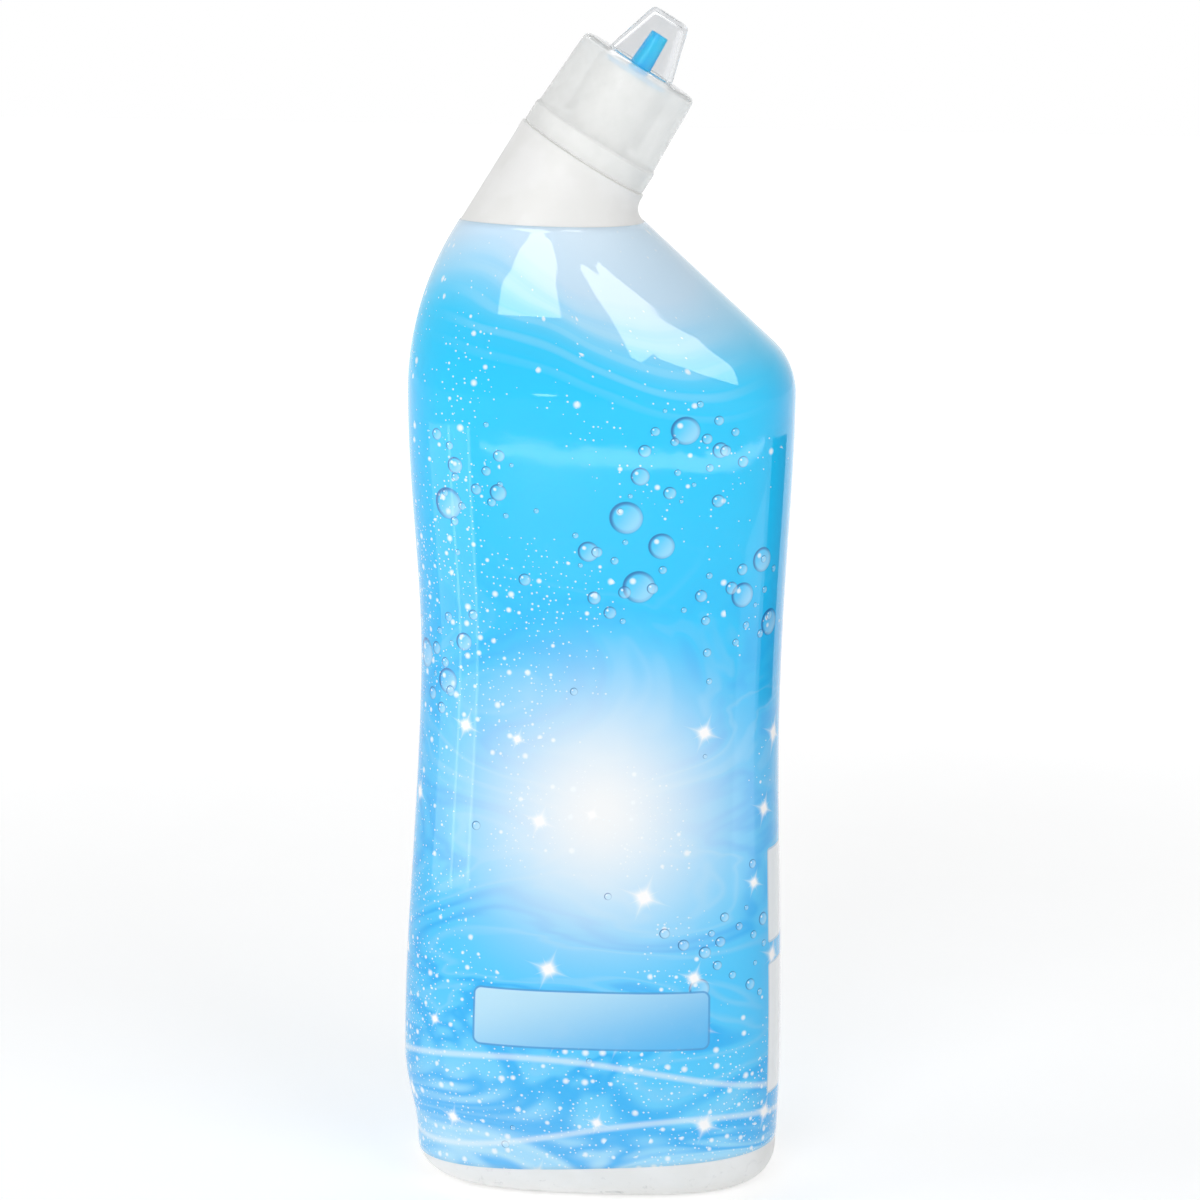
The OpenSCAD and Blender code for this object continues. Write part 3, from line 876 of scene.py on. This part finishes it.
# A ridge whose section is a half sine, on a helix h = low + pitch * turn, drawn down to points at both ends
def makeThread():
    run = np.linspace(0, 1, threadForm["steps"])[:, None]
    turn = 2 * np.pi * threadForm["turns"] * run
    fade = np.sin(np.clip(np.minimum(run, 1 - run) * threadForm["taper"], 0, 1) * np.pi / 2)
    angle = 2 * np.pi * np.arange(threadForm["around"])[None, :] / threadForm["around"]
    reach = np.where(np.sin(angle) > 0, threadForm["crest"], threadForm["sink"])
    radius = threadForm["root"] + fade * reach * np.sin(angle)
    climb = threadForm["pitch"] * threadForm["turns"] * run
    height = threadForm["low"] + climb + fade * threadForm["halfWidth"] * np.cos(angle)
    line = neckEnd + height[..., None] * neckAlong + (radius * np.cos(turn))[..., None] * neckAcross
    grid = np.stack([line[..., 0], radius * np.sin(turn), line[..., 1]], axis=-1)
    return gridPiece("neckThread", grid, "container", whiteLook)


insertForm = {
    "flangeLip": 0.35, "flange": 1.2, "plugLength": 8.0, "plugWall": 1.0, "plugGap": 0.05,
    "spoutRoot": 5.6, "spoutTip": 4.5, "spoutLength": 10.0, "jet": 1.8,
}


# The blue insert turned about the neck's axis: a plug in the bore, a flange on the mouth and a spout
def makeInsert():
    plugRadius = finishForm["tubeDiameter"] / 2 - finishForm["wall"] - insertForm["plugGap"]
    lip = finishForm["tubeDiameter"] / 2 + insertForm["flangeLip"]
    flange, low = insertForm["flange"], -insertForm["plugLength"]
    top, jet = flange + insertForm["spoutLength"], insertForm["jet"] / 2
    inner = plugRadius - insertForm["plugWall"]
    corners = [
        (inner, low, 0.2),
        (plugRadius, low, 0.3),
        (plugRadius, 0, 0.1),
        (lip, 0, 0.3),
        (lip, flange, 0.3),
        (insertForm["spoutRoot"] / 2, flange, 0.6),
        (insertForm["spoutTip"] / 2, top, 0.35),
        (jet, top, 0.2),
        (jet, 0, 0.2),
        (inner, 0, 0.3),
    ]
    profile = softProfile(corners, closed=True) + np.array([0, finishForm["height"]])
    grid = ringPoints(axisRings(profile), roundTurns)
    piece = gridPiece("spoutInsert", grid, "container", insertLook, closed=True)
    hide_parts("nozzle_insert")
    return piece


capForm = {
    "wall": 1.1, "gap": 0.3, "bandHeight": 5.2, "bandStep": 0.5, "draw": 0.9, "plate": 1.1,
    "coneRoot": 17.8, "coneTip": 9.8, "coneWall": 1.2, "tipRoom": 4.1, "threadRoom": 1.0, "innerWall": 1.2,
    "clearAbove": 0.2, "clearBelow": 0.3, "rimWidth": 1.8, "facing": 0.1,
}


# The cap turned about the neck's axis: cone, plate, inner skirt, outer skirt and raised band
def makeCap():
    gap, wall, coneWall, innerWall = (capForm[name] for name in ("gap", "wall", "coneWall", "innerWall"))
    collar, tube = finishForm["collarDiameter"] / 2, finishForm["tubeDiameter"] / 2
    skirtIn = collar + gap
    band = skirtIn + wall
    skirt = band - capForm["bandStep"]
    top = skirt - capForm["draw"]
    plateLow = finishForm["height"] + insertForm["flange"] + gap
    plateHigh = plateLow + capForm["plate"]
    coneIn = finishForm["height"] + insertForm["flange"] + insertForm["spoutLength"] + capForm["tipRoom"]
    tip = coneIn + coneWall
    cone, tipOut = capForm["coneRoot"] / 2, capForm["coneTip"] / 2
    inner, innerLow = tube + capForm["threadRoom"], finishForm["collarHeight"] + 2 * bodyForm["wall"]
    bandTop = gap + capForm["bandHeight"]
    corners = [
        (0, coneIn, 0),
        (tipOut - coneWall, coneIn, 0.8),
        (cone - coneWall, plateHigh, 0.5),
        (cone - coneWall, plateLow, 0.2),
        (inner, plateLow, 0.3),
        (inner, innerLow, 0.2),
        (inner + innerWall, innerLow, 0.3),
        (inner + innerWall, plateLow, 0.3),
        (top - wall, plateLow, 0.5),
        (skirtIn, finishForm["collarHeight"] + gap, 1.0),
        (skirtIn, gap, 0.2),
        (band, gap, 0.35),
        (band, bandTop, 0.35),
        (skirt, bandTop + capForm["bandStep"], 0.35),
        (top, plateHigh, 1.7),
        (cone, plateHigh, 0.5),
        (tipOut, tip, 1.5),
        (0, tip, 0),
    ]
    grid = ringPoints(axisRings(softProfile(corners, steps=7)), roundTurns)
    piece = gridPiece("capShell", grid, "closure", skirtLook)
    piece.data.materials.append(coneLook)
    piece.data.materials.append(insideLook)
    # the cone and the plate inside the rim are clearer than the skirt, and faces that look inwards or down
    # only pass light on
    values = np.zeros((2, len(piece.data.polygons) * 3))
    piece.data.polygons.foreach_get("center", values[0])
    piece.data.polygons.foreach_get("normal", values[1])
    centres, normals = values[0].reshape(-1, 3) / millimetre, values[1].reshape(-1, 3)
    axis = np.array([neckAlong[0], 0, neckAlong[1]])
    fromEnd = centres - np.array([neckEnd[0], 0, neckEnd[1]])
    along = fromEnd @ axis
    outwards = fromEnd - along[:, None] * axis
    far = np.linalg.norm(outwards, axis=1)
    facingOut = np.sum(normals * outwards, axis=1) / np.maximum(far, 1e-6)
    onPlate = (along > plateLow - capForm["clearBelow"]) & (far < top - capForm["rimWidth"])
    clear = (along > plateHigh + capForm["clearAbove"]) | onPlate
    inside = (facingOut < capForm["facing"]) & (normals @ axis < capForm["facing"])
    piece.data.polygons.foreach_set("material_index", np.where(inside, 2, clear).astype(np.int32))
    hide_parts("cap")
    return piece


gelForm = {"gap": 0.3, "fill": 20.0, "sideRings": 50, "topRings": 12, "footRings": 5}


# The gel fills the inside, clear of the wall by a gap, up to a level top above the shoulders
def makeGel():
    inset, top = bodyForm["wall"] + gelForm["gap"], shoulder + gelForm["fill"]
    heights = np.concatenate([
        np.linspace(bodyForm["footRound"], shoulder, gelForm["sideRings"])[:-1],
        np.linspace(shoulder, top, gelForm["topRings"]),
    ])
    last = levelRings([top], inset)[0]
    close = mix(last, ringMiddle(last), np.array([0.02, 0.3, 0.65, 1.0])[:, None])
    rings = np.vstack([footRings(inset, gelForm["footRings"]), levelRings(heights, inset), close])
    piece = gridPiece("gelFill", ringPoints(rings, bodyTurns[::2]), "container", gelLook)
    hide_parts("gel")
    return piece


makeBottle()
makeSleeve()
makeThread()
makeInsert()
makeCap()
makeGel()
print("pieces made")

studio = {
    "floorColour": "F2F2F2",
    "floorPale": "F8F8F8",
    "floorHalf": 6.0,
    "skyLight": 0.37,
    "floorGlow": 0.2,
    "floorReach": (0.25, 1.6),
    "floorLift": (0.35, 0.85),  # near the bottle, far from it
    "lampAim": (0.0, 0.0, 0.16),
    "lamps": (  # name, azimuth and elevation in degrees, distance, width, height, brightness
        ("keyLeft", -15.0, 12.0, 1.2, 0.46, 0.95, 3.1),
        ("softRight", 42.0, 32.0, 0.9, 0.5, 0.5, 2.2),
        ("sideLeft", -80.0, 8.0, 1.0, 0.5, 0.9, 1.9),
        ("backFill", 180.0, 40.0, 1.2, 1.0, 0.8, 1.2),
    ),
    "cardMiddle": (0.0, 0.0, 0.15),
    "cards": (  # name, brightness, radius, then two edges as azimuths and elevations in degrees
        ("softboxWedge", 6.5, 1.2,
         ((-13.5, 3.4), (-24.5, 20.8), (-29.9, 33.7), (-36, 38.6), (-41, 52)),
         ((-8.5, 3.4), (-4.2, 16.9), (-5, 32), (-6.9, 41.8), (-8.3, 52))),
        ("softboxStreak", 6.5, 1.2,
         ((7.3, 36.9), (22.4, 52), (43.4, 61), (69.2, 60.1), (66.2, 44.6), (57, 21.5)),
         ((5.2, 39.9), (6, 50.6), (11, 59.5), (13, 52.5), (16, 43), (31.9, 34.3))),
        ("levelBand", 4.0, 0.9,
         ((-40, -6.8), (-18, -6.35), (0, -5.95), (17, -5.75), (42, -5.65), (68, -5.6), (88, -5.5)),
         ((-40, -7.3), (-18, -7.35), (0, -7.0), (17, -6.85), (42, -6.75), (62, -6.6), (84, -6.1))),
        ("leftWall", 2.3, 0.4, ((-92, -21), (-92, -2)), ((-48, -21), (-46, -2))),
        ("leftLine", 4.5, 0.39, ((-66.5, -21), (-66.5, -2)), ((-64, -21), (-64, -2))),
        ("leftEdge", 4.0, 0.39, ((-50.5, -21), (-48.5, -2)), ((-49, -21), (-47, -2))),
        ("rightWall", 1.8, 0.4, ((60, -21), (68, -9)), ((92, -21), (92, -5))),
        ("rightDark", 0.2, 0.4, ((98, -15), (98, -2)), ((130, -15), (130, -2))),
    ),
    "flags": (  # plates that hide a card's second reflection: low x and y, high x and y, z at each x, in mm
        ("wedgeFlag", -160.0, -430.0, 2.0, -12.0, 223.0, 218.5),
        ("streakFlag", -4.0, -29.5, 32.0, -12.0, 240.0, 240.0),
    ),
}


# Which way an azimuth and an elevation in radians point; at 0, 0 that is -Y, where the camera stands
def direction(azimuth, elevation):
    level = np.cos(elevation)
    return np.stack([np.sin(azimuth) * level, -np.cos(azimuth) * level, np.sin(elevation)], -1)


# A stage sheet from a grid of points (rows, columns, xyz) in metres
def makeSheet(name, grid, material):
    count = grid.shape[1]
    k, j = np.mgrid[0:len(grid) - 1, 0:count - 1]
    corner = k * count + j
    faces = np.stack([corner, corner + 1, corner + count + 1, corner + count], -1).reshape(-1, 4)
    mesh = bpy.data.meshes.new(name)
    mesh.from_pydata(grid.reshape(-1, 3).tolist(), [], faces.tolist())
    mesh.materials.append(material)
    return addObject(name, mesh)


# Only glossy rays see a card or a flag: it shapes the film's reflections and lights nothing
def makeCard(name, brightness, grid):
    material = bpy.data.materials.new(name)
    tree = emptyTree(material)
    seen = addNode(tree, "LightPath").outputs["Is Glossy Ray"]
    glow = addNode(tree, "Emission", {"Color": (1, 1, 1, 1), "Strength": brightness})
    clear = addNode(tree, "BsdfTransparent")
    both = addNode(tree, "MixShader", {0: seen, 1: clear.outputs[0], 2: glow.outputs[0]})
    addNode(tree, "OutputMaterial", {"Surface": both.outputs[0]})
    card = makeSheet(name, grid, material)


# Each card is a patch of a sphere about the middle, spanned in straight steps between its two edges
def makeCards():
    steps = np.linspace(0, 1, 13)[:, None, None]
    for name, brightness, radius, *edges in studio["cards"]:
        low, high = np.radians(np.array(edges, float))
        turn, lift = np.moveaxis(mix(low, high, steps), 2, 0)
        makeCard(name, brightness, np.array(studio["cardMiddle"]) + radius * direction(turn, lift))
    for name, lowX, lowY, highX, highY, startZ, endZ in studio["flags"]:
        nearRow = [(lowX, lowY, startZ), (highX, lowY, endZ)]
        farRow = [(lowX, highY, startZ), (highX, highY, endZ)]
        makeCard(name, 1.0, np.array([nearRow, farRow]) * millimetre)


# 1 for rays from the camera, straight or by way of gloss or clear plastic, and 0 for light on its way
def seenRays(tree):
    path = addNode(tree, "LightPath").outputs
    indirect = highest(path["Is Glossy Ray"], path["Is Transmission Ray"])
    return highest(path["Is Camera Ray"], indirect)


# A pale floor that glows more the farther it lies from the bottle, so that it meets the white sky
def makeFloor():
    material, tree, shader = newMaterial("paleFloor")
    place = objectPlace(tree)
    mottled = remap(noise(place, 30.0, 2.0), 0.3, 0.7, 0.0, 0.15)
    base = tint(mottled, studio["floorColour"], studio["floorPale"])
    plug(shader, {"Base Color": base, "Roughness": 0.7, "Specular IOR Level": 0.2})
    lifted = remap(vectorLength(place), *studio["floorReach"], *studio["floorLift"])
    strength = mixValue(seenRays(tree), studio["floorGlow"], lifted)
    lift = addNode(tree, "Emission", {"Color": (1, 1, 1, 1), "Strength": strength})
    newSurface(addNode(tree, "AddShader", {0: shader.outputs[0], 1: lift.outputs[0]}))
    size = studio["floorHalf"]
    grid = np.array([[(-size, -size, 0), (size, -size, 0)], [(-size, size, 0), (size, size, 0)]])
    floor = makeSheet("studioFloor", grid, material)


# White to look at, and dimmer as a light
def makeSky():
    scene.world = bpy.data.worlds.new("whiteStudio")
    tree = emptyTree(scene.world)
    strength = mixValue(seenRays(tree), studio["skyLight"], 1.0)
    back = addNode(tree, "Background", {"Color": (1, 1, 1, 1), "Strength": strength})
    addNode(tree, "OutputWorld", {"Surface": back.outputs[0]})


# Area lamps that face the bottle, with energy = brightness * pi * width * height
def makeLamps():
    for name, azimuth, elevation, distance, width, height, brightness in studio["lamps"]:
        lamp = bpy.data.lights.new(name, "AREA")
        lamp.shape, lamp.size, lamp.size_y = "RECTANGLE", width, height
        lamp.energy = brightness * math.pi * width * height
        piece = addObject(name, lamp)
        away = Vector(direction(math.radians(azimuth), math.radians(elevation)))
        piece.location = Vector(studio["lampAim"]) + away * distance
        piece.rotation_mode = "QUATERNION"
        piece.rotation_quaternion = away.to_track_quat("Z", "Y")
        piece.visible_camera = piece.visible_glossy = False


cameraFit = {  # measured from the photo: degrees, metres, pixels of a 1200 x 1200 frame
    "yaw": 2.956, "elevation": 10.726, "roll": 0.815, "distance": 0.855973, "focal": 3440.07,
    "middleX": 598.923, "middleY": 624.735, "target": (0.0, 0.0, 0.14), "frame": 1200.0, "sensor": 36.0,
}


# The photo's camera: turned by yaw, elevation and roll about its target, and shifted to its middle
def makeCamera():
    yaw, elevation, roll = (math.radians(cameraFit[k]) for k in ("yaw", "elevation", "roll"))
    back = Vector(direction(yaw, elevation))
    right = Vector((math.cos(yaw), math.sin(yaw), 0))
    up = back.cross(right)
    turnedRight = right * math.cos(roll) + up * math.sin(roll)
    turnedUp = up * math.cos(roll) - right * math.sin(roll)
    frameSize = cameraFit["frame"]
    data = bpy.data.cameras.new("photoCamera")
    data.sensor_width = cameraFit["sensor"]
    data.lens = cameraFit["focal"] / frameSize * data.sensor_width
    data.shift_x = (frameSize / 2 - cameraFit["middleX"]) / frameSize
    data.shift_y = (cameraFit["middleY"] - frameSize / 2) / frameSize
    camera = addObject("photoCamera", data)
    place = Vector(cameraFit["target"]) + back * cameraFit["distance"]
    axes = Matrix((turnedRight, turnedUp, back)).transposed().to_4x4()
    camera.matrix_world = Matrix.Translation(place) @ axes
    scene.camera = camera


makeFloor()
makeSky()
makeLamps()
makeCards()
makeCamera()
scene.view_settings.view_transform = "Standard"
print("studio ready")

bpy.context.view_layer.update()
